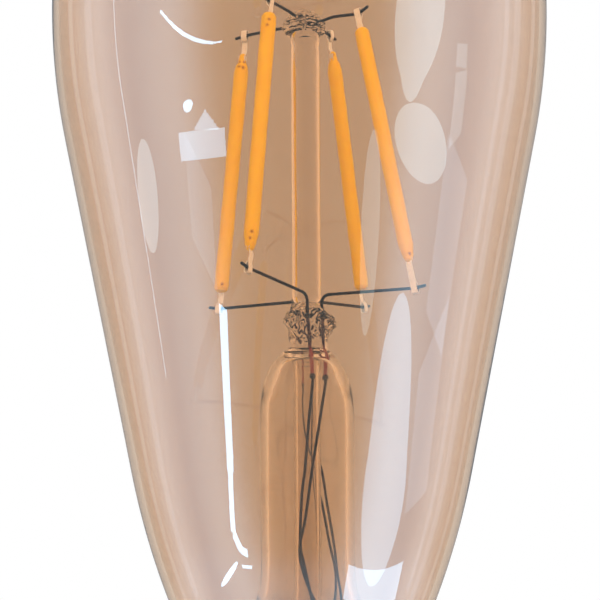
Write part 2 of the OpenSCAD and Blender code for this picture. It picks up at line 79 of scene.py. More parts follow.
# Stem
STEM_X = 0.7
FLARE_R = 5.85
PRESS_Z = 65.2
PRESS_TOP_Z = 71.2
BUTTON_Z = 106.9
BUTTON_TOP_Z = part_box("top_button")[1].z / MM
EXHAUST_R = 1.72
ROD_R = 1.87
HAIR_GAP = 0.02

# Wires
WIRE_R = 0.2
COPPER_R = 0.16
WELD_Z = 61.6
BEAD_Z = 69.3
BEND_Z = 72.1
WIRE_TAIL = 1.3
CROSS_Z = (108.25, 108.7)
LEAD_TOP = ((1.9, -1.6), (0.1, -2.4), (-0.6, 2.4), (0.9, 2.5))
LEAD_FOOT = ((2.2, -1.6), (0.65, -2.4), (-0.8, 2.4), (1.1, 2.5))
AZIMUTHS = (-30, -120, -210, -300)
LOW_REACH = (15.3, 14.0, 13.2, 15.6)
HIGH_REACH = (7.8, 8.7, 9.1, 6.7)
LOW_Z = (71.7, 73.4, 72.0, 73.4)
HIGH_Z = (108.3, 108.8, 108.3, 108.7)

# Routes of the copper wires down the flare, and their pads on the driver board
COPPER_ROUTES = (
    ((2.2, -1.9, 56), (1.3, -2.3, 50.3), (0.4, -2.3, 44), (-0.3, -2.3, 40),
     (0.6, -2.3, 36), (3.0, -1.7, 30), (4.2, -0.85, 25.5), (4.2, -0.85, 23.2)),
    ((0.9, -2.8, 56), (0.4, -3.0, 50), (0, -3.1, 46.6), (-0.2, -3.1, 41),
     (0.2, -3.0, 38.5), (1.0, -2.8, 34.5), (1.8, -2.1, 29.5), (1.9, -2.0, 26.2),
     (1.5, -0.85, 24.5), (1.5, -0.85, 23.2)),
    ((-0.2, 2.6, 58.5), (0.2, 3.5, 55.5), (1.2, 3.8, 53), (2.5, 3.1, 50.9),
     (3.3, 2.2, 45.9), (4.0, 1.7, 41.5), (4.5, 1.4, 37.5), (4.9, 1.2, 33.5),
     (4.2, 0.85, 25.5), (4.2, 0.85, 23.2)),
    ((1.7, 2.6, 57), (1.6, 2.8, 52), (2.2, 2.9, 48), (2.7, 2.9, 45.9),
     (3.5, 2.6, 41.5), (4.3, 2.3, 37.5), (3.9, 2.3, 33), (2.3, 2.2, 28.5),
     (2.0, 2.0, 26.2), (1.5, 0.85, 24.5), (1.5, 0.85, 23.2)),
)

# Filament
STRIP_INSET = 0.3
TAB_PAST = 0.7

# Base
THREAD_R = 13.1
ROOT_R = 12.13
PITCH = 3.629
SKIRT_R = 13.35
SKIRT_TOP_Z = 24
LEDGE_Z = 21.4
BEAD_TOP_Z = 7.3
SHEET = 0.3
COLLAR_TOP_Z = 30.5
INSULATOR_R = 11.7


# --------------------------------------------------------------------- helpers


def lerp(a, b, t):
    return a + (b - a) * t


def smooth(x):
    t = min(max(x, 0.0), 1.0)
    return t * t * (3 - 2 * t)


def table(x, keys):
    """The value at x of a smooth curve through (x, value) keys in rising order."""
    if x <= keys[0][0]:
        return keys[0][1]
    for (x0, v0), (x1, v1) in zip(keys, keys[1:]):
        if x <= x1:
            return lerp(v0, v1, smooth((x - x0) / (x1 - x0)))
    return keys[-1][1]


def polar(degrees, r=1.0, z=0.0):
    a = math.radians(degrees)
    return Vector((r * math.cos(a), r * math.sin(a), z))


def arc(centre, radius, start, end, steps):
    """Points on a circle from one angle to another, in degrees."""
    points = []
    for i in range(steps + 1):
        p = polar(lerp(start, end, i / steps), radius)
        points.append((centre[0] + p.x, centre[1] + p.y))
    return points


def curve_through(points, steps):
    """A Catmull-Rom curve through points of any dimension."""
    p = [np.array(q, float) for q in points]
    p = [2 * p[0] - p[1]] + p + [2 * p[-1] - p[-2]]
    out = []
    for a, b, c, d in zip(p, p[1:], p[2:], p[3:]):
        for k in range(steps):
            t = k / steps
            out.append(0.5 * (2 * b + (c - a) * t + (2 * a - 5 * b + 4 * c - d) * t ** 2
                              + (3 * b - a - 3 * c + d) * t ** 3))
    return out + [p[-2]]


def rounded(points, setback, steps=6, closed=False):
    """A polyline whose corners are rounded, each starting at most setback from it."""
    p = [np.array(q, float) for q in points]
    n = len(p)
    out = [] if closed else [p[0]]
    for i in range(0 if closed else 1, n if closed else n - 1):
        before, here, after = p[i - 1], p[i], p[(i + 1) % n]
        back, ahead = before - here, after - here
        a = here + back * min(setback / np.linalg.norm(back), 0.45)
        b = here + ahead * min(setback / np.linalg.norm(ahead), 0.45)
        for k in range(steps + 1):
            t = k / steps
            out.append(a * (1 - t) ** 2 + here * 2 * t * (1 - t) + b * t ** 2)
    return out if closed else out + [p[-1]]


def wave(x, y, z, size, seed=0.0):
    """Smooth noise from -1 to 1 whose lumps are about size across."""
    return noise.noise(Vector((x / size + seed, y / size - seed, z / size + 2 * seed)))


class Skin:
    """Gathers rings and tubes in millimetres, and becomes one piece."""

    def __init__(self):
        self.verts = []
        self.faces = []

    def loft(self, rings, closed=False):
        """A skin through rings of equal size; closed joins the last to the first."""
        first, k = len(self.verts), len(rings[0])
        for ring in rings:
            self.verts += [tuple(p) for p in ring]
        for i in range(len(rings) if closed else len(rings) - 1):
            a, b = first + i * k, first + (i + 1) % len(rings) * k
            for j in range(k):
                m = (j + 1) % k
                self.faces.append((a + j, a + m, b + m, b + j))
        return self

    def revolve(self, outline, sides, bend=None, closed=True):
        """Turns an outline of (radius, height) about Z; bend moves each point."""
        rings = []
        for r, z in outline:
            ring = [polar(360 * j / sides, r, z) for j in range(sides)]
            rings.append([bend(p) for p in ring] if bend else ring)
        return self.loft(rings, closed)

    def tube(self, path, radius, sides=14):
        """A round wire along a path, with domed ends; radius may vary along it."""
        p = [Vector(q) for q in path]
        r = list(radius) if hasattr(radius, "__len__") else [radius] * len(p)
        start, end = (p[1] - p[0]).normalized(), (p[-1] - p[-2]).normalized()
        dome = (90, 60, 30)
        head = [(p[0] - start * r[0] * math.sin(math.radians(a)),
                 r[0] * math.cos(math.radians(a))) for a in dome]
        tail = [(p[-1] + end * r[-1] * math.sin(math.radians(a)),
                 r[-1] * math.cos(math.radians(a))) for a in reversed(dome)]
        run = head + list(zip(p, r)) + tail
        side = start.orthogonal().normalized()
        rings = []
        for i, (point, size) in enumerate(run):
            ahead = (run[min(i + 1, len(run) - 1)][0] - run[max(i - 1, 0)][0]).normalized()
            side = (side - ahead * side.dot(ahead)).normalized()
            up = ahead.cross(side)
            rings.append([point + size * (math.cos(a) * side + math.sin(a) * up)
                          for a in (2 * math.pi * j / sides for j in range(sides))])
        return self.loft(rings)

    def ball(self, centre, radius, lumps=0.0, sides=20):
        """A round blob, slightly lumpy."""
        rings = []
        for i in range(sides // 2 + 1):
            tilt = 180 * i / (sides // 2) - 90
            ring = []
            for j in range(sides):
                d = polar(360 * j / sides, math.cos(math.radians(tilt)),
                          math.sin(math.radians(tilt)))
                bump = 1 + lumps * wave(*(d + Vector(centre)), 0.9)
                ring.append(Vector(centre) + d * radius * bump)
            rings.append(ring)
        return self.loft(rings)

    def ribbon(self, path, across, width, thick):
        """A flat strip with softened edges along a path; across is its width's direction."""
        p = [Vector(q) for q in path]
        soft = thick * 0.35
        corners = rounded([(-width / 2, -thick / 2), (width / 2, -thick / 2),
                           (width / 2, thick / 2), (-width / 2, thick / 2)],
                          soft, 3, closed=True)
        rings = []
        for i, point in enumerate(p):
            ahead = (p[min(i + 1, len(p) - 1)] - p[max(i - 1, 0)]).normalized()
            up = ahead.cross(across).normalized()
            rings.append([point + across * c[0] + up * c[1] for c in corners])
        pole = [[p[i]] * len(corners) for i in (0, -1)]
        return self.loft([pole[0]] + rings + [pole[1]])

    def piece(self, name, material, slot, *nodes):
        """Makes the piece, which stands for the named CAD nodes."""
        mesh = bpy.data.meshes.new(name)
        mesh.from_pydata([tuple(c * MM for c in v) for v in self.verts], [], self.faces)
        work = bmesh.new()
        work.from_mesh(mesh)
        bmesh.ops.remove_doubles(work, verts=work.verts, dist=1e-7)
        bmesh.ops.dissolve_degenerate(work, edges=work.edges, dist=1e-8)
        bmesh.ops.recalc_face_normals(work, faces=work.faces)
        work.to_mesh(mesh)
        work.free()
        mesh.shade_smooth()
        mesh.materials.append(material)
        obj = bpy.data.objects.new(name, mesh)
        bpy.context.scene.collection.objects.link(obj)
        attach(obj, "root")
        if nodes:
            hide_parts(*nodes)
        return obj


# ------------------------------------------------------------------- materials


class Graph:
    """A small builder of node materials."""

    def __init__(self, name):
        self.material = bpy.data.materials.new(name)
        self.material.use_nodes = True
        self.tree = self.material.node_tree
        self.tree.nodes.clear()
        self.coords = self.add("ShaderNodeTexCoord").outputs["Object"]

    def add(self, kind, settings=None, **inputs):
        """A node; settings are its properties, and inputs its sockets by name."""
        node = self.tree.nodes.new(kind)
        for key, value in (settings or {}).items():
            setattr(node, key, value)
        for key, value in inputs.items():
            self.put(node.inputs[key.replace("_", " ")], value)
        return node

    def put(self, socket, value):
        if isinstance(value, bpy.types.NodeSocket):
            self.tree.links.new(value, socket)
        elif hasattr(socket.default_value, "__len__") and len(value) == 3 \
                and len(socket.default_value) == 4:
            socket.default_value = (*value, 1)
        else:
            socket.default_value = value

    def noise(self, size, detail=3.0, rough=0.55, stretch=(1, 1, 1)):
        """Noise over the surface; size is in millimetres."""
        vector = self.coords
        if stretch != (1, 1, 1):
            vector = self.add("ShaderNodeMapping", Vector=vector, Scale=stretch).outputs[0]
        return self.add("ShaderNodeTexNoise", Vector=vector, Scale=1 / (size * MM),
                        Detail=detail, Roughness=rough).outputs["Fac"]

    def ramp(self, factor, *stops):
        """Colours or levels at places along a factor."""
        node = self.add("ShaderNodeValToRGB", Fac=factor)
        marks = node.color_ramp.elements
        while len(marks) < len(stops):
            marks.new(0.5)
        for mark, (place, value) in zip(marks, stops):
            mark.position = place
            level = value if hasattr(value, "__len__") else (value,) * 3
            mark.color = (*level, 1)
        return node.outputs["Color"]

    def mix(self, factor, a, b):
        node = self.add("ShaderNodeMix", {"data_type": "RGBA"})
        for index, value in ((0, factor), (6, a), (7, b)):
            self.put(node.inputs[index], value)
        return node.outputs[2]

    def math(self, operation, a, b=0.0):
        node = self.add("ShaderNodeMath", {"operation": operation})
        self.put(node.inputs[0], a)
        self.put(node.inputs[1], b)
        return node.outputs[0]

    def bump(self, height, depth, strength=1.0):
        """A bump whose full height is depth, in millimetres."""
        return self.add("ShaderNodeBump", Height=height, Distance=depth * MM,
                        Strength=strength).outputs["Normal"]

    def height(self, low, high):
        """0 to 1 as the surface rises from low to high, in millimetres."""
        z = self.add("ShaderNodeSeparateXYZ", Vector=self.coords).outputs["Z"]
        node = self.add("ShaderNodeMapRange", {"interpolation_type": "SMOOTHSTEP"}, Value=z)
        self.put(node.inputs["From Min"], low * MM)
        self.put(node.inputs["From Max"], high * MM)
        return node.outputs["Result"]

    def surface(self, **inputs):
        """A Principled surface, wired to the output."""
        shader = self.add("ShaderNodeBsdfPrincipled", **inputs)
        self.output(shader.outputs[0])
        return self.material

    def output(self, shader):
        self.add("ShaderNodeOutputMaterial", Surface=shader)


def glass(name, tint, ior, **inputs):
    """Glass whose tint is what one wall lets through; shadow rays pass straight."""
    g = Graph(name)
    body = g.add("ShaderNodeBsdfPrincipled", Base_Color=tint, IOR=ior, Roughness=0.0,
                 Transmission_Weight=1.0, **inputs)
    straight = g.add("ShaderNodeBsdfTransparent", Color=[math.sqrt(c) for c in tint])
    shadow = g.add("ShaderNodeLightPath").outputs["Is Shadow Ray"]
    mixed = g.add("ShaderNodeMixShader", Fac=shadow)
    g.put(mixed.inputs[1], body.outputs[0])
    g.put(mixed.inputs[2], straight.outputs[0])
    g.output(mixed.outputs[0])
    return g.material


def metal(name, dark, light, roughness, grain=0.4, stretch=(1, 1, 1), depth=0.01,
          metallic=1.0):
    """Metal whose colour and gloss vary with a fine grain."""
    g = Graph(name)
    tone = g.noise(grain * 4, 4, stretch=stretch)
    fine = g.noise(grain, 3, stretch=stretch)
    return g.surface(
        Base_Color=g.mix(tone, dark, light), Metallic=metallic,
        Roughness=g.ramp(fine, (0.25, roughness * 0.75), (0.75, roughness * 1.25)),
        Normal=g.bump(fine, depth))


def plastic(name, dark, light, roughness, grain=0.25, depth=0.01, **inputs):
    """Moulded or painted plastic with a fine texture."""
    g = Graph(name)
    tone = g.noise(grain * 8, 4)
    fine = g.noise(grain, 2)
    return g.surface(
        Base_Color=g.mix(tone, dark, light),
        Roughness=g.ramp(fine, (0.2, roughness * 0.85), (0.8, roughness * 1.15)),
        Normal=g.bump(fine, depth), **inputs)


# The amber coat lets warm light through and throws cool light back
AMBER = glass("amber_glass", (0.71, 0.545, 0.405), 2.0, Specular_IOR_Level=1.0,
              Specular_Tint=(0.42, 0.72, 1.0))
CLEAR = glass("stem_glass", (0.93, 0.89, 0.83), 1.52)
NICKEL_WIRE = metal("nickel_wire", (0.012, 0.008, 0.006), (0.07, 0.05, 0.038), 0.35, 0.15)
COPPER_WIRE = metal("oxidised_copper", (0.010, 0.005, 0.004), (0.04, 0.016, 0.010), 0.4, 0.15)
TAB_METAL = metal("tab_metal", (0.86, 0.90, 0.94), (0.95, 0.98, 1.0), 0.28, 0.12,
                  metallic=0.15)


def seal_wire():
    """Borated copper-clad wire: dark where the press holds it, wine red below."""
    g = Graph("seal_wire")
    streak = g.noise(0.3, 3)
    red = g.mix(streak, (0.20, 0.03, 0.02), (0.42, 0.09, 0.06))
    dark = g.mix(streak, (0.02, 0.008, 0.008), (0.07, 0.02, 0.018))
    return g.surface(Base_Color=g.mix(g.height(64.7, 65.9), red, dark),
                     Roughness=g.ramp(streak, (0.3, 0.3), (0.7, 0.5)),
                     Normal=g.bump(streak, 0.02), Metallic=0.3)


def phosphor_coat():
    """Silicone full of phosphor: satin, faintly grainy, with scorched marks at its ends."""
    g = Graph("phosphor_coat")
    cloud = g.noise(2.2, 3)
    grain = g.noise(0.12, 2)
    base = g.mix(cloud, (0.95, 0.60, 0.025), (1.0, 0.70, 0.035))
    base = g.mix(g.ramp(grain, (0.62, 0), (0.78, 0.3)), base, (0.85, 0.45, 0.02))
    mark = g.add("ShaderNodeAttribute", {"attribute_name": "mark"}).outputs["Fac"]
    base = g.mix(mark, base, (0.30, 0.12, 0.012))
    return g.surface(Base_Color=base, Roughness=g.ramp(grain, (0.3, 0.42), (0.7, 0.58)),
                     Subsurface_Weight=0.25, Subsurface_Radius=(0.6 * MM, 0.3 * MM, 0.1 * MM),
                     Subsurface_Scale=1.0, Specular_IOR_Level=0.3, Sheen_Weight=0.8, Sheen_Roughness=0.25,
                     Sheen_Tint=(1.0, 0.72, 0.22), Normal=g.bump(g.math("ADD", cloud, grain), 0.03))


def shell_metal():
    """Nickel-plated sheet: drawn streaks, fine scratches and dull spots."""
    g = Graph("shell_metal")
    drawn = g.noise(1.4, 4, stretch=(1, 1, 0.12))
    scratch = g.noise(0.22, 2, 0.6, stretch=(1, 1, 6))
    spots = g.noise(3.5, 5)
    tone = g.mix(spots, (0.40, 0.39, 0.37), (0.56, 0.55, 0.53))
    rough = g.math("ADD", g.ramp(drawn, (0.3, 0.16), (0.7, 0.27)),
                   g.ramp(scratch, (0.55, 0.0), (0.75, 0.1)))
    return g.surface(Base_Color=tone, Metallic=1.0, Roughness=rough,
                     Normal=g.bump(g.math("ADD", drawn, scratch), 0.012))


def insulator_glass():
    """Black glass of the base, faintly swirled."""
    g = Graph("insulator_glass")
    swirl = g.noise(2.5, 5, 0.6)
    return g.surface(Base_Color=g.ramp(swirl, (0.4, (0.006, 0.006, 0.007)),
                                       (0.7, (0.022, 0.02, 0.024))),
                     Roughness=g.ramp(swirl, (0.3, 0.09), (0.7, 0.2)),
                     Normal=g.bump(swirl, 0.06))


def solder_face():
    """The centre contact: plated brass with a dull solder pool in its dish."""
    g = Graph("contact_metal")
    grain = g.noise(0.35, 4)
    pool = g.height(0.5, 0.25)
    return g.surface(Base_Color=g.mix(pool, (0.78, 0.72, 0.60), g.mix(
        grain, (0.50, 0.50, 0.51), (0.72, 0.72, 0.72))), Metallic=1.0,
        Roughness=g.ramp(grain, (0.3, 0.24), (0.7, 0.42)), Normal=g.bump(grain, 0.03))


def board_green(name, deep, mask):
    """Circuit board: solder mask over copper tracks, which show as raised lines."""
    g = Graph(name)
    cells = g.add("ShaderNodeTexVoronoi", {"feature": "DISTANCE_TO_EDGE",
                                           "distance": "MANHATTAN"},
                  Vector=g.coords, Scale=1 / (2.6 * MM), Randomness=0.75).outputs["Distance"]
    track = g.ramp(cells, (0.05, 1.0), (0.09, 0.0))
    speck = g.noise(0.4, 3)
    base = g.mix(track, g.mix(speck, deep, mask), [min(1, c * 1.9) for c in mask])
    return g.surface(Base_Color=base, Roughness=g.ramp(speck, (0.3, 0.28), (0.7, 0.4)),
                     Normal=g.bump(track, 0.05), Coat_Weight=0.3)


def wound_wire():
    """Enamelled copper in close turns round the core, with painted shade darkening the grooves between
    turns.
    """
    g = Graph("wound_copper")
    turns = g.add("ShaderNodeTexWave", {"bands_direction": "Z"}, Vector=g.coords,
                  Scale=0.5 / (0.32 * MM), Distortion=0.4).outputs["Fac"]
    # Painted shade: the copper colour goes dark in the grooves between turns and bright on their crests
    return g.surface(Base_Color=g.ramp(turns, (0.1, (0.20, 0.05, 0.02)),
                                       (0.7, (0.72, 0.27, 0.12))),
                     Metallic=0.85, Roughness=g.ramp(turns, (0.2, 0.5), (0.8, 0.25)),
                     Normal=g.bump(turns, 0.12))


# ----------------------------------------------------------------------- glass

shoulder_c = (GLASS_R - SHOULDER_R, WIDEST_Z)
crown_r = SHOULDER_R + shoulder_c[0] / math.cos(math.radians(CROWN_ANGLE))
crown_c = (0, WIDEST_Z - shoulder_c[0] * math.tan(math.radians(CROWN_ANGLE)))
belly_c = (GLASS_R - BELLY_R, WIDEST_Z)
belly_end = arc(belly_c, BELLY_R, 0, -CONE_ANGLE, 1)[1]
cone_run = (belly_end[1] - THROAT_Z) * math.tan(math.radians(CONE_ANGLE))
cone_end = (belly_end[0] - cone_run, THROAT_Z)
throat_c = arc(cone_end, THROAT_R, 0, 180 - CONE_ANGLE, 1)[1]
throat_end = arc(throat_c, THROAT_R, 0, -THROAT_ANGLE, 1)[1]
fillet_c = arc(throat_end, NECK_FILLET, 0, -THROAT_ANGLE, 1)[1]
NECK_R = fillet_c[0] - NECK_FILLET


def glass_outline(depth):
    """Half of the glass's section from its pole to the neck's end, moved in by depth."""
    cone_top = arc(belly_c, BELLY_R - depth, 0, -CONE_ANGLE, 1)[1]
    cone_foot = arc(throat_c, THROAT_R - depth, 0, -CONE_ANGLE, 1)[1]
    cone = [(lerp(cone_top[0], cone_foot[0], k / 14), lerp(cone_top[1], cone_foot[1], k / 14))
            for k in range(1, 14)]
    pole = [(0.0, crown_c[1] + crown_r - depth)]
    return (pole + arc(crown_c, crown_r - depth, 89, CROWN_ANGLE, 26)
            + arc(shoulder_c, SHOULDER_R - depth, CROWN_ANGLE, 0, 18)[1:]
            + arc(belly_c, BELLY_R - depth, 0, -CONE_ANGLE, 12)[1:] + cone
            + arc(throat_c, THROAT_R - depth, -CONE_ANGLE, -THROAT_ANGLE, 18)
            + arc(fillet_c, NECK_FILLET + depth, 180 - THROAT_ANGLE, 180, 10)[1:]
            + [(NECK_R - depth, NECK_END_Z)])


def blown(depth):
    """Moves a point inward a little, as blown glass varies; each face in its own way."""
    def bend(p):
        swell = 0.5 + 0.5 * wave(p.x, p.y, p.z * 0.6, 17, depth)
        fade = smooth((p.z - 36) / 20)
        flat = Vector((p.x, p.y, 0))
        if flat.length < 0.01:
            return p
        return p - flat.normalized() * min(flat.length, 5) / 5 * 0.03 * swell * fade
    return bend


def envelope():
    skin = Skin()
    rings = []
    for depth, outline in ((0.0, glass_outline(0)),
                           (WALL, list(reversed(glass_outline(WALL))))):
        bend = blown(depth + 3)
        for r, z in outline:
            rings.append([bend(polar(360 * j / 180, r, z)) for j in range(180)])
    return skin.loft(rings, closed=True).piece(
        "amber_envelope", AMBER, "amber_glass", "glass_envelope")


def on_stem(p):
    """Moves a point from the bulb's axis to the stem's, which leans only at its rim."""
    return Vector((p.x + STEM_X * smooth((p.z - 29.6) / 5), p.y, p.z))


def stem_flare():
    outer = [(2.9, PRESS_Z), (3.5, 64.65), (4.35, 63.5), (5.15, 61.9), (5.62, 60.2),
             (FLARE_R, 57.9), (FLARE_R, 50), (FLARE_R, 43), (FLARE_R, 37.5), (6.3, 34.7),
             (7.6, 32.8), (9.6, 31.2), (11.7, 30.1), (13.2, 29.4)]
    inner = [(13.2, 28.5), (11.3, 29.15), (8.9, 30.45), (6.9, 32.25), (5.4, 34.5),
             (4.87, 37.5), (4.85, 43), (4.85, 50), (4.85, 57.6), (4.5, 59.9), (3.7, 61.9),
             (2.9, 63.3), (2.0, 64.0)]

    def bend(p):
        sag = 0.09 * wave(p.x, p.y, p.z, 5.5, 4) * smooth((p.z - 56) / 4)
        flat = Vector((p.x, p.y, 0)).normalized()
        return on_stem(p + flat * (sag + 0.03 * wave(p.x, p.y, p.z * 0.3, 4, 9)))

    outline = curve_through(outer, 6) + curve_through(inner, 6)
    return Skin().revolve(outline, 96, bend).piece(
        "stem_flare_glass", CLEAR, "stem_glass", "stem_flare")


def exhaust_tube():
    bore = EXHAUST_R - 0.5
    outer = [(EXHAUST_R + 0.2, 63.95), (EXHAUST_R + 0.08, 63.3), (EXHAUST_R, 62),
             (EXHAUST_R, 50), (EXHAUST_R, 38), (EXHAUST_R, 28.4), (EXHAUST_R * 0.92, 27.2),
             (EXHAUST_R * 0.7, 26.2), (EXHAUST_R * 0.35, 25.6), (0, 25.5)]
    inner = [(0, 27.2), (bore * 0.6, 27.6), (bore * 0.95, 28.6), (bore, 30), (bore, 45),
             (bore, 60), (bore + 0.1, 63.95)]
    return Skin().revolve(curve_through(outer, 5) + curve_through(inner, 5), 48,
                          on_stem).piece(
        "exhaust_tube_glass", CLEAR, "stem_glass", "exhaust_tube")


# The press's reach to the left, right and front, by height
PRESS_LEFT = ((65.2, 2.35), (66.0, 1.95), (67.3, 2.3), (69.0, 2.78), (69.9, 2.35),
              (70.6, 1.95), (71.2, 1.9))
PRESS_RIGHT = ((65.2, 2.75), (66.2, 2.5), (67.3, 2.6), (69.1, 3.45), (70.0, 2.9),
               (70.6, 2.35), (71.2, 1.95))
PRESS_DEPTH = ((65.2, 2.85), (66.4, 2.8), (69.0, 3.0), (70.2, 2.85), (71.2, 2.0))


def stem_press():
    sides, rows = 112, 64
    low, high = PRESS_Z + HAIR_GAP, PRESS_TOP_Z - HAIR_GAP
    rings = []
    for i in range(rows + 1):
        z = lerp(low, high, i / rows)
        ring = []
        for j in range(sides):
            a = 2 * math.pi * j / sides
            c, s = math.cos(a), math.sin(a)
            wide = table(z, PRESS_RIGHT if c > 0 else PRESS_LEFT)
            deep = table(z, PRESS_DEPTH)
            middle = math.sin(math.pi * i / rows) ** 0.5
            fold = 0.16 * wave(wide * c, deep * s, z, 1.5, 1) \
                + 0.12 * abs(wave(wide * c, deep * s, z, 0.8, 6)) \
                + 0.10 * math.cos(3 * a + z * 1.3)
            grow = 1 + fold * middle
            edge = 0.25 * max(0, -c) * (1 - i / rows) ** 8
            ring.append((STEM_X + wide * c * grow, deep * s * grow, z + edge))
        rings.append(ring)
    top, foot = [(STEM_X, 0, high)] * sides, [(STEM_X, 0, low + 0.1)] * sides
    return Skin().loft([foot] + rings + [top]).piece(
        "stem_press_glass", CLEAR, "stem_glass", "stem_press")


def support_rod():
    low, high = PRESS_TOP_Z + HAIR_GAP, BUTTON_Z - HAIR_GAP
    rings = [[(STEM_X, 0, low)] * 64]
    for i in range(41):
        z = lerp(low, high, i / 40)
        foot = 0.10 * (1 - smooth((z - low) / 1.2)) + 0.12 * smooth((z - high + 1.0) / 1.0)
        rings.append([polar(360 * j / 64, ROD_R - 0.02 + foot
                            + 0.02 * wave(j / 9, 0, z, 6, 2), z)
                      + Vector((STEM_X, 0, 0)) for j in range(64)])
    rings.append([(STEM_X, 0, high)] * 64)
    return Skin().loft(rings).piece("support_rod_glass", CLEAR, "stem_glass", "support_rod")


def top_button():
    """A lump melted over the wires: flat under, creased and faceted above."""
    sides, rows = 112, 48
    height = BUTTON_TOP_Z - BUTTON_Z - HAIR_GAP
    profile = ((0.0, 2.35), (0.10, 2.75), (0.25, 3.0), (0.45, 2.85), (0.65, 2.4),
               (0.85, 1.6), (0.96, 0.8), (1.0, 0.0))
    rings = [[(STEM_X, 0, BUTTON_Z + HAIR_GAP)] * sides]
    for i in range(rows + 1):
        t = i / rows
        ring = []
        for j in range(sides):
            a = 2 * math.pi * j / sides
            c, s = math.cos(a), math.sin(a)
            r = table(t, profile) * (1.06 if c < 0 else 0.9)
            cell = noise.voronoi(Vector((r * c, r * s, t * height)) / 1.25)[0]
            facet = 0.16 * (cell[1] - cell[0]) - 0.1
            ripple = 0.12 * wave(r * c, r * s, t * height, 1.0, 3)
            grow = 1 + (facet + ripple) * math.sin(math.pi * t) ** 0.4
            z = BUTTON_Z + HAIR_GAP + t * height * (1 - 0.08 * abs(wave(c, s, t, 0.7)))
            ring.append((STEM_X + r * c * grow, r * s * grow, z))
        rings.append(ring)
    return Skin().loft(rings).piece("top_button_glass", CLEAR, "stem_glass", "top_button")


# ----------------------------------------------------------------------- wires


def stem_point(r, azimuth, z):
    return polar(azimuth, r, z) + Vector((STEM_X, 0, 0))


def inner_lead(i):
    """A nickel wire from the press, bent outward to its filament's lower tab."""
    x, y = LEAD_TOP[i][0] + STEM_X, LEAD_TOP[i][1]
    weld = stem_point(LOW_REACH[i], AZIMUTHS[i], LOW_Z[i])
    bend = Vector((x, y, BEND_Z))
    out = (weld - bend).normalized()
    tip = weld + out * WIRE_TAIL + Vector((0, 0, 0.25))
    path = rounded([Vector((x, y, BEAD_Z)), bend, weld, tip], 1.2, 10)
    return Skin().tube(path, WIRE_R).piece(
        f"inner_lead_wire_{i + 1}", NICKEL_WIRE, "lead_wire", f"inner_lead_{i + 1}")


def bridge_wire(i):
    """A nickel wire through the button that joins two opposite upper tabs."""
    ends = []
    for k, hook in ((i, 0.7 if i == 0 else 0.0), (i + 2, -0.15)):
        weld = stem_point(HIGH_REACH[k], AZIMUTHS[k], HIGH_Z[k])
        tip = stem_point(HIGH_REACH[k] + WIRE_TAIL, AZIMUTHS[k], HIGH_Z[k] + hook)
        inside = stem_point(2.4, AZIMUTHS[k], CROSS_Z[i])
        bow = stem_point(lerp(2.4, HIGH_REACH[k], 0.3), AZIMUTHS[k],
                         lerp(CROSS_Z[i], HIGH_Z[k], 0.3) + (0.32 if k == 0 else 0.12))
        ends.append([tip, weld, bow, inside])
    path = rounded(ends[0] + ends[1][::-1], 1.0, 8)
    return Skin().tube(path, WIRE_R).piece(
        f"bridge_wire_{i + 1}_nickel", NICKEL_WIRE, "lead_wire", f"bridge_wire_{i + 1}")


def stem_wires():
    seals, welds = Skin(), Skin()
    for top, foot in zip(LEAD_TOP, LEAD_FOOT):
        low = Vector((foot[0] + STEM_X, foot[1], WELD_Z))
        high = Vector((top[0] + STEM_X, top[1], BEAD_Z))
        path = [low.lerp(high, k / 24) for k in range(25)]
        seals.tube(path, [WIRE_R * (1.06 + 0.1 * wave(0, top[0], p.z, 0.9)) for p in path])
        welds.ball(low, 0.34, 0.3).ball(high, 0.36, 0.25)
    seals.piece("seal_wires", seal_wire(), "dumet", "dumet_seals")
    welds.piece("weld_knots", NICKEL_WIRE, "lead_wire", "lead_welds")
    for i, route in enumerate(COPPER_ROUTES):
        foot = Vector((LEAD_FOOT[i][0] + STEM_X, LEAD_FOOT[i][1], WELD_Z))
        path = curve_through([foot, foot - Vector((0, 0, 1))] + list(route), 8)
        Skin().tube(path, COPPER_R * 1.12, 12).piece(
            f"copper_lead_{i + 1}", COPPER_WIRE, "copper_wire", f"outer_lead_{i + 1}")


# ------------------------------------------------------------------- filaments

# How each coat ends, at its lower and upper tab: (distance from the end, radius) keys
ROUND_END = ((0.0, 0.0), (0.02, 0.3), (0.12, 0.58), (0.35, 0.82), (0.8, 0.94), (1.4, 0.95))
TEAT_END = ((0.0, 0.0), (0.03, 0.22), (0.25, 0.42), (1.1, 0.52), (1.9, 0.80), (2.6, 0.93))
BULB_END = ((0.0, 0.0), (0.05, 0.33), (0.3, 0.74), (0.8, 1.02), (1.5, 1.10), (3.2, 0.95))
TAPER_END = ((0.0, 0.0), (0.03, 0.25), (0.3, 0.5), (1.1, 0.72), (2.4, 0.93))
COAT_ENDS = ((TAPER_END, BULB_END), (TAPER_END, BULB_END), (ROUND_END, TEAT_END),
             (ROUND_END, TEAT_END))

# Scorched marks: filament, end (0 lower, 1 upper), distance from it, sideways place
SCORCHES = (
    (2, 1, 1.25, -0.28), (2, 1, 1.2, 0.3), (2, 1, 1.95, -0.3), (2, 1, 2.05, 0.22),
    (2, 0, 1.0, 0.1), (1, 1, 1.35, 0.12), (1, 1, 2.15, -0.08), (1, 0, 1.35, -0.05),
    (1, 0, 2.2, 0.1), (0, 0, 0.9, 0.15), (3, 1, 0.5, 0.0),
)


def strip_frame(i):
    """A filament's lower end, axis, width direction, normal and length, from its strip."""
    mesh = frame["nodes"][f"filament_strip_{i + 1}"].data
    points = np.array([v.co for v in mesh.vertices]) / MM
    centre = (points.max(0) + points.min(0)) / 2
    axis, across, normal = np.linalg.svd(points - centre)[2]
    axis = axis if axis[2] > 0 else -axis
    reach = np.ptp((points - centre) @ axis) / 2 + STRIP_INSET
    low = Vector(centre - axis * reach)
    return low, Vector(axis), Vector(across), Vector(normal), 2 * reach


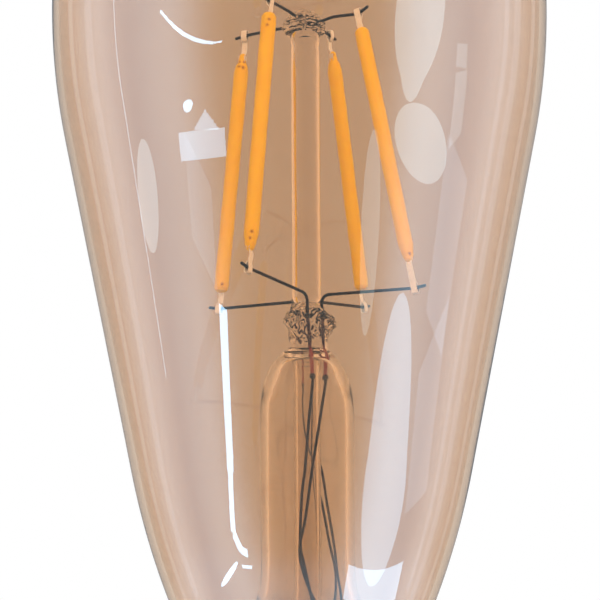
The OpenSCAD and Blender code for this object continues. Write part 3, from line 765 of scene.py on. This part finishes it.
def filament_coat(i, material):
    """A knobbly phosphor coat with shaped ends, marked where the welding scorched it."""
    low, axis, _, _, length = strip_frame(i)
    lower, upper = COAT_ENDS[i]
    side = axis.cross(Vector((0, -1, 0))).normalized()
    front = side.cross(axis)
    stations = [lower[-1][0] * (k / 30) ** 1.7 for k in range(30)]
    body = length - lower[-1][0] - upper[-1][0]
    stations += [lower[-1][0] + body * k / 150 for k in range(150)]
    stations += [length - upper[-1][0] * (k / 30) ** 1.7 for k in range(30, -1, -1)]
    sides = 56
    rings = []
    for s in stations:
        r = min(table(s, lower), table(length - s, upper))
        ring = []
        for j in range(sides):
            a = 2 * math.pi * j / sides
            spoke = side * math.cos(a) + front * math.sin(a)
            p = low + axis * s + spoke * r
            ring.append(p + spoke * r * (0.045 * wave(*p, 1.9, i) + 0.02 * wave(*p, 0.6, i)))
        rings.append(ring)
    obj = Skin().loft(rings).piece(f"phosphor_coat_{i + 1}", material, "phosphor",
                                   f"filament_coat_{i + 1}")
    marks = [(distance if end == 0 else length - distance, offset)
             for which, end, distance, offset in SCORCHES if which == i]
    attribute = obj.data.attributes.new("mark", "FLOAT", "POINT")
    for v in obj.data.vertices:
        p = v.co / MM - low
        if p.dot(front) > 0 and min(p.dot(axis), length - p.dot(axis)) < 4:
            ragged = 0.34 + 0.2 * wave(*p, 0.3, 5)
            gaps = [math.hypot(p.dot(axis) - at, p.dot(side) - offset) for at, offset in marks]
            attribute.data[v.index].value = max(
                [1 - smooth(gap / ragged) for gap in gaps], default=0)
    return obj


def filament_tabs(i):
    """Tabs that leave the coat and fold round the wires at both ends."""
    low, axis, across, normal, length = strip_frame(i)
    mesh = frame["nodes"][f"filament_tabs_{i + 1}"].data
    along = [(v.co / MM - low).dot(axis) for v in mesh.vertices]
    skin = Skin()
    for coat_end, far_end, out in ((0.0, min(along), -1), (length, max(along), 1)):
        wire = far_end - out * TAB_PAST
        leaf = [(coat_end - out * 0.3, 0.05), (coat_end + out * 0.4, 0.28),
                (wire - out * 0.75, 0.18), (wire - out * 0.25, 0.29),
                (far_end - out * 0.10, 0.29), (far_end - out * 0.02, 0.0),
                (far_end - out * 0.10, -0.29), (wire - out * 0.25, -0.29),
                (wire - out * 0.8, 0.02)]
        path = rounded([low + axis * s + normal * n for s, n in leaf], 0.18, 5)
        skin.ribbon(path, across, 0.82, 0.13)
    return skin.piece(f"folded_tabs_{i + 1}", TAB_METAL, "tab_metal",
                      f"filament_tabs_{i + 1}")


# ------------------------------------------------------------------------ base


def collar():
    lip = throat_end[0] + 0.12
    seat = NECK_R + 0.5
    outline = [
        (10.3, 18.2), (11.6, 18.2), (11.6, SKIRT_TOP_Z), (SKIRT_R + 0.35, SKIRT_TOP_Z),
        (SKIRT_R + 0.8, SKIRT_TOP_Z + 0.4), (lip + 0.8, 28.6), (lip + 1.15, 29.6),
        (lip + 1.1, 30.1), (lip + 0.8, COLLAR_TOP_Z), (lip, COLLAR_TOP_Z), (seat, 29.4),
        (seat, NECK_END_Z), (NECK_R - 1.9, NECK_END_Z), (NECK_R - 1.9, 25), (10.3, 23.4)]
    look = plastic("collar_plastic", (0.36, 0.355, 0.345), (0.42, 0.415, 0.40), 0.42, 0.16,
                   0.012, Coat_Weight=0.12, Coat_Roughness=0.3)
    return Skin().revolve(rounded(outline, 0.3, 6, closed=True), 192).piece(
        "moulded_collar", look, "collar_plastic", "collar")


def thread_at(a, z):
    """Radius of the rolled thread; it fades out at both ends."""
    fade = smooth((z - BEAD_TOP_Z) / 1.5) * smooth((LEDGE_Z - z) / 1.5)
    turn = (1 + math.cos(2 * math.pi * z / PITCH - a)) / 2
    return ROOT_R + (THREAD_R - ROOT_R) * fade * turn ** 0.85


def screw_shell():
    sides, rows = 160, 150
    low, high = BEAD_TOP_Z - 0.3, LEDGE_Z + 0.3
    cap = rounded([(12.0, high), (SKIRT_R - 0.35, high + 0.1), (SKIRT_R - 0.1, high + 0.5),
                   (SKIRT_R, high + 0.9), (SKIRT_R, SKIRT_TOP_Z),
                   (SKIRT_R - 0.3, SKIRT_TOP_Z), (SKIRT_R - 0.3, high + 0.95),
                   (12.0 - SHEET, high + 0.35)], 0.25, 6)
    foot = rounded([(11.85, low), (12.35, low - 0.2), (12.48, low - 0.42), (12.3, 6.32),
                    (INSULATOR_R + 0.08, 6.3), (INSULATOR_R + 0.08, low)], 0.2, 5)
    rings = []
    for r, z in reversed(cap):
        rings.append([polar(360 * j / sides, r, z) for j in range(sides)])
    for i in range(rows + 1):
        z = lerp(high, low, i / rows)
        rings.append([polar(360 * j / sides, thread_at(2 * math.pi * j / sides, z), z)
                      for j in range(sides)])
    for r, z in foot:
        rings.append([polar(360 * j / sides, r, z) for j in range(sides)])
    for i in range(rows + 1):
        z = lerp(low, high, i / rows)
        rings.append([polar(360 * j / sides, thread_at(2 * math.pi * j / sides, z) - SHEET, z)
                      for j in range(sides)])
    return Skin().loft(rings, closed=True).piece(
        "rolled_screw_shell", shell_metal(), "shell_metal", "screw_shell")


def base_insulator():
    outline = [(2.1, 1.35), (6.1, 1.35), (7.2, 1.85), (11.25, 5.4), (INSULATOR_R, 6.25),
               (INSULATOR_R, 8), (10.6, 8), (9.6, 5.6), (4, 4.4), (2.1, 4.4)]

    def bend(p):
        ribs = 0.12 * math.cos(12 * math.atan2(p.y, p.x)) * smooth((p.z - 1.6) / 1.5) \
            * smooth((5.4 - p.z) / 1.5)
        return p + Vector((p.x, p.y, 0)).normalized() * (ribs - 0.12) if p.z < 6 else p

    return Skin().revolve(rounded(outline, 0.5, 6, closed=True), 192, bend).piece(
        "glass_insulator", insulator_glass(), "insulator", "base_insulator")


def centre_contact():
    outline = [(0, 0.02), (1.5, 0.0), (2.4, 0.16), (2.9, 0.14), (4.4, 0.6), (5, 1.05),
               (5, 1.3), (2, 1.3), (2, 4.9), (1.3, 4.9), (1.3, 1.1), (0, 1.1)]

    def bend(p):
        puddle = 0.09 * wave(p.x, p.y, 0, 1.3, 2) * smooth((3.0 - p.xy.length) / 1.5)
        return p + Vector((0, 0, max(0, puddle) if p.z < 0.9 else 0))

    ends = rounded(outline, 0.12, 4)
    return Skin().revolve(ends, 96, bend, closed=False).piece(
        "contact_rivet", solder_face(), "shell_metal", "centre_contact")


# ----------------------------------------------------- the driver's CAD pieces


def finish_cad_nodes():
    """Gives every CAD node that stays its own procedural material."""
    ceramic = plastic("strip_ceramic", (0.74, 0.73, 0.70), (0.86, 0.85, 0.82), 0.5)
    chip = plastic("led_chip", (0.62, 0.48, 0.16), (0.80, 0.66, 0.30), 0.25)
    looks = {f"filament_strip_{i}": ceramic for i in range(1, 5)}
    looks |= {f"filament_chips_{i}": chip for i in range(1, 5)}
    black = plastic("chip_black", (0.018, 0.018, 0.02), (0.04, 0.04, 0.045), 0.45)
    solder = metal("solder", (0.55, 0.55, 0.56), (0.78, 0.78, 0.78), 0.25, 0.3)
    looks |= {
        "cement_ring": plastic("cement", (0.55, 0.47, 0.36), (0.70, 0.62, 0.50), 0.9, 0.3,
                               0.08),
        "driver_board": board_green("board_green", (0.012, 0.07, 0.03),
                                    (0.025, 0.13, 0.055)),
        "wifi_board": board_green("board_blue_green", (0.01, 0.05, 0.045),
                                  (0.02, 0.10, 0.085)),
        "bulk_capacitor": plastic("can_sleeve", (0.03, 0.03, 0.035), (0.07, 0.07, 0.08),
                                  0.3, Coat_Weight=0.5),
        "inductor_core": plastic("ferrite", (0.035, 0.037, 0.04), (0.08, 0.08, 0.085), 0.6),
        "inductor_coil": wound_wire(),
        "film_capacitor": plastic("film_red", (0.40, 0.035, 0.02), (0.55, 0.07, 0.035),
                                  0.35, Coat_Weight=0.4),
        "bridge_rectifier": black, "driver_chip": black, "channel_mosfets": black,
        "fuse_resistor": plastic("resistor_body", (0.25, 0.38, 0.45), (0.38, 0.52, 0.60),
                                 0.4),
        "surface_parts": plastic("part_body", (0.30, 0.24, 0.17), (0.62, 0.54, 0.42), 0.5),
        "output_joints": solder,
        "wifi_shield": metal("shield_metal", (0.60, 0.60, 0.60), (0.82, 0.82, 0.82), 0.3,
                             0.8),
        "wifi_antenna": metal("track_copper", (0.60, 0.32, 0.12), (0.85, 0.52, 0.25), 0.3),
        "board_header": plastic("header_black", (0.02, 0.02, 0.02), (0.045, 0.045, 0.045),
                                0.5),
        "live_wire": plastic("live_sleeve", (0.38, 0.02, 0.015), (0.55, 0.04, 0.03), 0.4),
        "neutral_wire": plastic("neutral_sleeve", (0.62, 0.62, 0.60), (0.78, 0.78, 0.76),
                                0.4),
    }
    for name, look in looks.items():
        mesh = frame["nodes"][name].data
        mesh.materials.clear()
        mesh.materials.append(look)


# ---------------------------------------------------------- floor, light, camera


FLOOR_R = 1600
FLOOR_Z = -0.05
SOFT_SIZE = (400, 500)
SOFT_DISTANCE = 600
CARD_DISTANCE = 250
NEAR_DISTANCE = 66
FOOT_DISTANCE = 60


def floor():
    """A pale floor just under the contact."""
    skin = Skin()
    rim = [(r, FLOOR_Z) for r in (0, 300, FLOOR_R)]
    skin.revolve(rim, 96, closed=False)
    g = Graph("floor_paint")
    paint = g.surface(Base_Color=g.mix(g.noise(40, 3), (0.80, 0.80, 0.80),
                                       (0.83, 0.83, 0.83)), Roughness=0.7)
    mesh = bpy.data.meshes.new("floor")
    mesh.from_pydata([tuple(c * MM for c in v) for v in skin.verts], [], skin.faces)
    mesh.materials.append(paint)
    obj = bpy.data.objects.new("floor", mesh)
    bpy.context.scene.collection.objects.link(obj)
    obj.visible_glossy = False
    obj.visible_transmission = False


def from_azimuth(azimuth, elevation):
    """A direction. Azimuth 0 is the camera's side of the bulb and grows to the right."""
    up = math.radians(elevation)
    return polar(azimuth - 90, math.cos(up), math.sin(up))


def area_light(name, centre, along, facing, size, radiance, shape="RECTANGLE",
               colour=(1, 1, 1)):
    """An area light of that radiance; its second side runs along a direction."""
    light = bpy.data.lights.new(name, "AREA")
    light.shape = shape
    light.size, light.size_y = (s * MM for s in size)
    light.energy = radiance * math.pi * light.size * light.size_y
    light.color = colour
    obj = bpy.data.objects.new(name, light)
    bpy.context.scene.collection.objects.link(obj)
    z = (centre - facing).normalized()
    y = (along - z * along.dot(z)).normalized()
    turn = Matrix((y.cross(z), y, z)).transposed()
    obj.matrix_world = Matrix.Translation(centre * MM) @ turn.to_4x4()
    obj.visible_camera = False
    return obj


def soft_light(name, azimuth, elevation, size, radiance):
    """A big soft light that shades the object and never shows as a reflection."""
    centre = Vector((0, 0, TARGET_Z)) + from_azimuth(azimuth, elevation) * SOFT_DISTANCE
    obj = area_light(name, centre, Vector((0, 0, 1)), Vector((0, 0, TARGET_Z)), size,
                     radiance)
    obj.visible_glossy = False
    obj.visible_transmission = False


def card(name, origin, path, radiance, distance=CARD_DISTANCE, shape="RECTANGLE",
         colour=(1, 1, 1)):
    """A bright card that the glass mirrors. Its path is a list of azimuth, elevation and
    width, in degrees, as seen from a point on the glass. Each step of it is one card."""
    eye = Vector(origin)
    for n, (start, end) in enumerate(zip(path, path[1:])):
        a, b = (eye + from_azimuth(*way[:2]) * distance for way in (start, end))
        wide = 2 * distance * math.tan(math.radians((start[2] + end[2]) / 4))
        obj = area_light(f"{name}_{n + 1}", (a + b) / 2, b - a, eye,
                         (wide, (b - a).length), radiance, shape, colour)
        obj.visible_diffuse = False
        obj.visible_transmission = False


def world():
    """White all round. Through the glass it is brighter obliquely to the sides, and its
    ceiling is a little dimmer. What the glass and metal mirror is a cool room: bright at
    the sides, dim in front of the bulb and behind it, and a little brighter low down."""
    w = bpy.data.worlds.new("studio")
    w.use_nodes = True
    bpy.context.scene.world = w
    tree = w.node_tree
    tree.nodes.clear()

    def make(kind, result=0, **sockets):
        """A node and its output. A socket is called by its name, or i0, i1 by its place."""
        node = tree.nodes.new(kind)
        for key, value in sockets.items():
            socket = node.inputs[int(key[1:]) if key[1:].isdigit() else key.replace("_", " ")]
            if hasattr(value, "links"):
                tree.links.new(value, socket)
            else:
                socket.default_value = value
        return node, node.outputs[result] if node.outputs else None

    def level(value, start, end, low, high):
        node, result = make("ShaderNodeMapRange", Value=value, From_Min=start, From_Max=end,
                            To_Min=low, To_Max=high)
        node.interpolation_type = "SMOOTHSTEP"
        return result

    def math_of(operation, a, b):
        node, result = make("ShaderNodeMath", i0=a, i1=b)
        node.operation = operation
        return result

    way = make("ShaderNodeTexCoord")[0].outputs["Generated"]
    split = make("ShaderNodeSeparateXYZ", Vector=way)[0].outputs
    path = make("ShaderNodeLightPath")[0].outputs
    sides = math_of("SUBTRACT", level(split["Y"], -0.86, -0.46, 0.06, 1.6),
                    level(split["Y"], 0.12, 0.7, 0.0, 1.35))
    depth = math_of("SUBTRACT", split["Z"], math_of("MULTIPLY", split["Y"], 0.24))
    low = level(depth, -0.33, -0.43, 0.0, 0.3)
    room = make("ShaderNodeBackground", Color=(0.8, 0.9, 1.0, 1),
                Strength=math_of("ADD", sides, low))[1]
    facing = math_of("ABSOLUTE", split["Y"], 0.0)
    flank = math_of("MULTIPLY", level(facing, 0.45, 0.92, 1.15, 0.0),
                    level(facing, 0.05, 0.3, 0.0, 1.0))
    ceiling = level(split["Z"], 0.3, 0.8, 0.0, 0.3)
    shade = math_of("MULTIPLY", math_of("SUBTRACT", flank, ceiling),
                    path["Is Transmission Ray"])
    white = make("ShaderNodeBackground", Color=(1, 1, 1, 1),
                 Strength=math_of("ADD", 1.0, shade))[1]
    mirrored = math_of("SUBTRACT", path["Is Glossy Ray"], path["Is Transmission Ray"])
    seen = make("ShaderNodeMixShader", i0=mirrored, i1=white, i2=room)[1]
    make("ShaderNodeOutputWorld", Surface=seen)


CAMERA_DISTANCE = 260
CAMERA_ELEVATION = -11.15
CAMERA_ROLL = -0.3056
CAMERA_LENS = 123.2
TARGET_Z = 71.8
AXIS_SHIFT = -0.0015


def camera():
    up = math.radians(CAMERA_ELEVATION)
    target = Vector((0, 0, TARGET_Z))
    place = target + CAMERA_DISTANCE * Vector((0, -math.cos(up), math.sin(up)))
    ahead = (target - place).normalized()
    right = Vector((1, 0, 0))
    above = right.cross(ahead)
    roll = math.radians(CAMERA_ROLL)
    x = right * math.cos(roll) + above * math.sin(roll)
    y = above * math.cos(roll) - right * math.sin(roll)
    data = bpy.data.cameras.new("camera")
    data.lens = CAMERA_LENS
    data.shift_x = AXIS_SHIFT
    data.clip_start = 0.01
    obj = bpy.data.objects.new("camera", data)
    bpy.context.scene.collection.objects.link(obj)
    turn = Matrix((x, y, -ahead)).transposed()
    obj.matrix_world = Matrix.Translation(place * MM) @ turn.to_4x4()
    bpy.context.scene.camera = obj


CREAM = (1.0, 0.84, 0.68)


def lights():
    """Three soft lights, and the cards that the glass mirrors."""
    soft_light("key_right", 40, 25, SOFT_SIZE, 9.2)
    soft_light("fill_left", -45, 15, SOFT_SIZE, 7.0)
    soft_light("back", 180, 20, SOFT_SIZE, 7.0)
    # On the left: the streak down the cone with its hooked foot and its drips
    streak = (-7.8, -17.3, 42.6)
    card("streak", streak, ((-42, 11, 6), (-49, -12, 4), (-55, -27, 3.5), (-51, -32, 3),
                            (-45, -34, 1.5)), 8, distance=NEAR_DISTANCE)
    card("drip", streak, ((-57, -34.3, 1.8), (-81, -35, 1.8)), 8, distance=NEAR_DISTANCE,
         shape="ELLIPSE")
    card("drip_low", streak, ((-53, -36.1, 0.9), (-43, -37.8, 0.9)), 8, distance=NEAR_DISTANCE)
    # The patch by the filaments, with its point, and the paler zone under it
    patch = (-11.2, -26.3, 85.6)
    card("patch", patch, ((-61.5, -4.7, 1.7), (-36, -6.9, 1.35)), 3.4)
    card("patch_point", patch, [(lerp(-45.6, -45.5, t), lerp(-5.46, -4.4, t),
                                 lerp(14, 0, t)) for t in np.linspace(0, 1, 7)], 3.4)
    card("veil", patch, ((-52, -6.4, 14), (-54, -12, 12)), 0.5)
    # The dot and the bow above it
    card("dot", (-12.8, -26.5, 89.6), ((-57, -4.0, 0.75), (-51.6, -4.35, 0.75)), 6,
         shape="ELLIPSE")
    bow = (-13, -28.1, 98)
    card("bow", bow, [(lerp(-34, -65, t), 9 * t * t, 0.2 + 0.8 * min(1, 3 * t) - 0.3 * t)
                      for t in np.linspace(0, 1, 8)], 8)
    card("bow_low", bow, ((-59, 5.5, 0.3), (-53, 3, 0.3)), 8)
    # The fine line and the leaf at the far left
    card("line", (-20, -21, 88), ((-91, 22, 0.5), (-91, -14, 0.5)), 3)
    card("leaf", (-17.8, -21, 80.4), ((-84, 0, 14), (-84, -6, 14)), 1.8, shape="ELLIPSE",
         colour=CREAM)
    # Faint upright bands near both edges of the glass
    for n, (azimuth, width) in enumerate(((-104, 5), (-121, 4), (101, 3), (110, 5),
                                          (127, 4))):
        card(f"edge_{n}", (0, 0, TARGET_Z), ((azimuth, 30, width), (azimuth, -30, width)),
             0.35)
    # On the right: the big blob and the slab beside it
    blob = (13.2, -26.8, 92.8)
    card("blob", blob, ((65, 20, 22), (46, -3, 22)), 2, shape="ELLIPSE", colour=CREAM)
    card("blob_low", blob, ((46, -7, 4), (78, -5, 4)), 2, shape="ELLIPSE", colour=CREAM)
    slab = (19, -23.4, 93)
    card("slab_top", slab, ((78.5, 6.4, 6.5), (79, 2.4, 6.5)), 1.3, colour=CREAM)
    card("slab", slab, ((79.5, 1.9, 7), (81, -3.5, 7)), 1.3, colour=CREAM)
    # The leaf between the filaments, the band down the right, the tongue and the foot
    card("leaf_right", (7.9, -25.5, 76.5), ((34, -4.8, 10), (40, -14.6, 10)), 1.2,
         shape="ELLIPSE", colour=CREAM)
    card("band", (16, -19.1, 68.1), ((84, 2, 17), (84, -8, 17), (90, -21, 17)), 0.7)
    card("tongue", (9.9, -17.3, 46.3), ((46, -11, 30), (77, -27, 30)), 2, shape="ELLIPSE")
    card("foot_right", (8.2, -14.6, 35.8), ((36, -36.5, 9.5), (94, -24, 9.5)), 4.2,
         distance=FOOT_DISTANCE)


# ------------------------------------------------------------------------ make

envelope()
stem_flare()
exhaust_tube()
stem_press()
support_rod()
top_button()
for k in range(2):
    bridge_wire(k)
stem_wires()
coat_look = phosphor_coat()
for k in range(4):
    inner_lead(k)
    filament_coat(k, coat_look)
    filament_tabs(k)
collar()
screw_shell()
base_insulator()
centre_contact()
finish_cad_nodes()

floor()
world()
lights()
camera()

scene = bpy.context.scene
scene.view_settings.view_transform = "Standard"
scene.cycles.max_bounces = 40
scene.cycles.transmission_bounces = 36
scene.cycles.transparent_max_bounces = 48
scene.cycles.glossy_bounces = 12
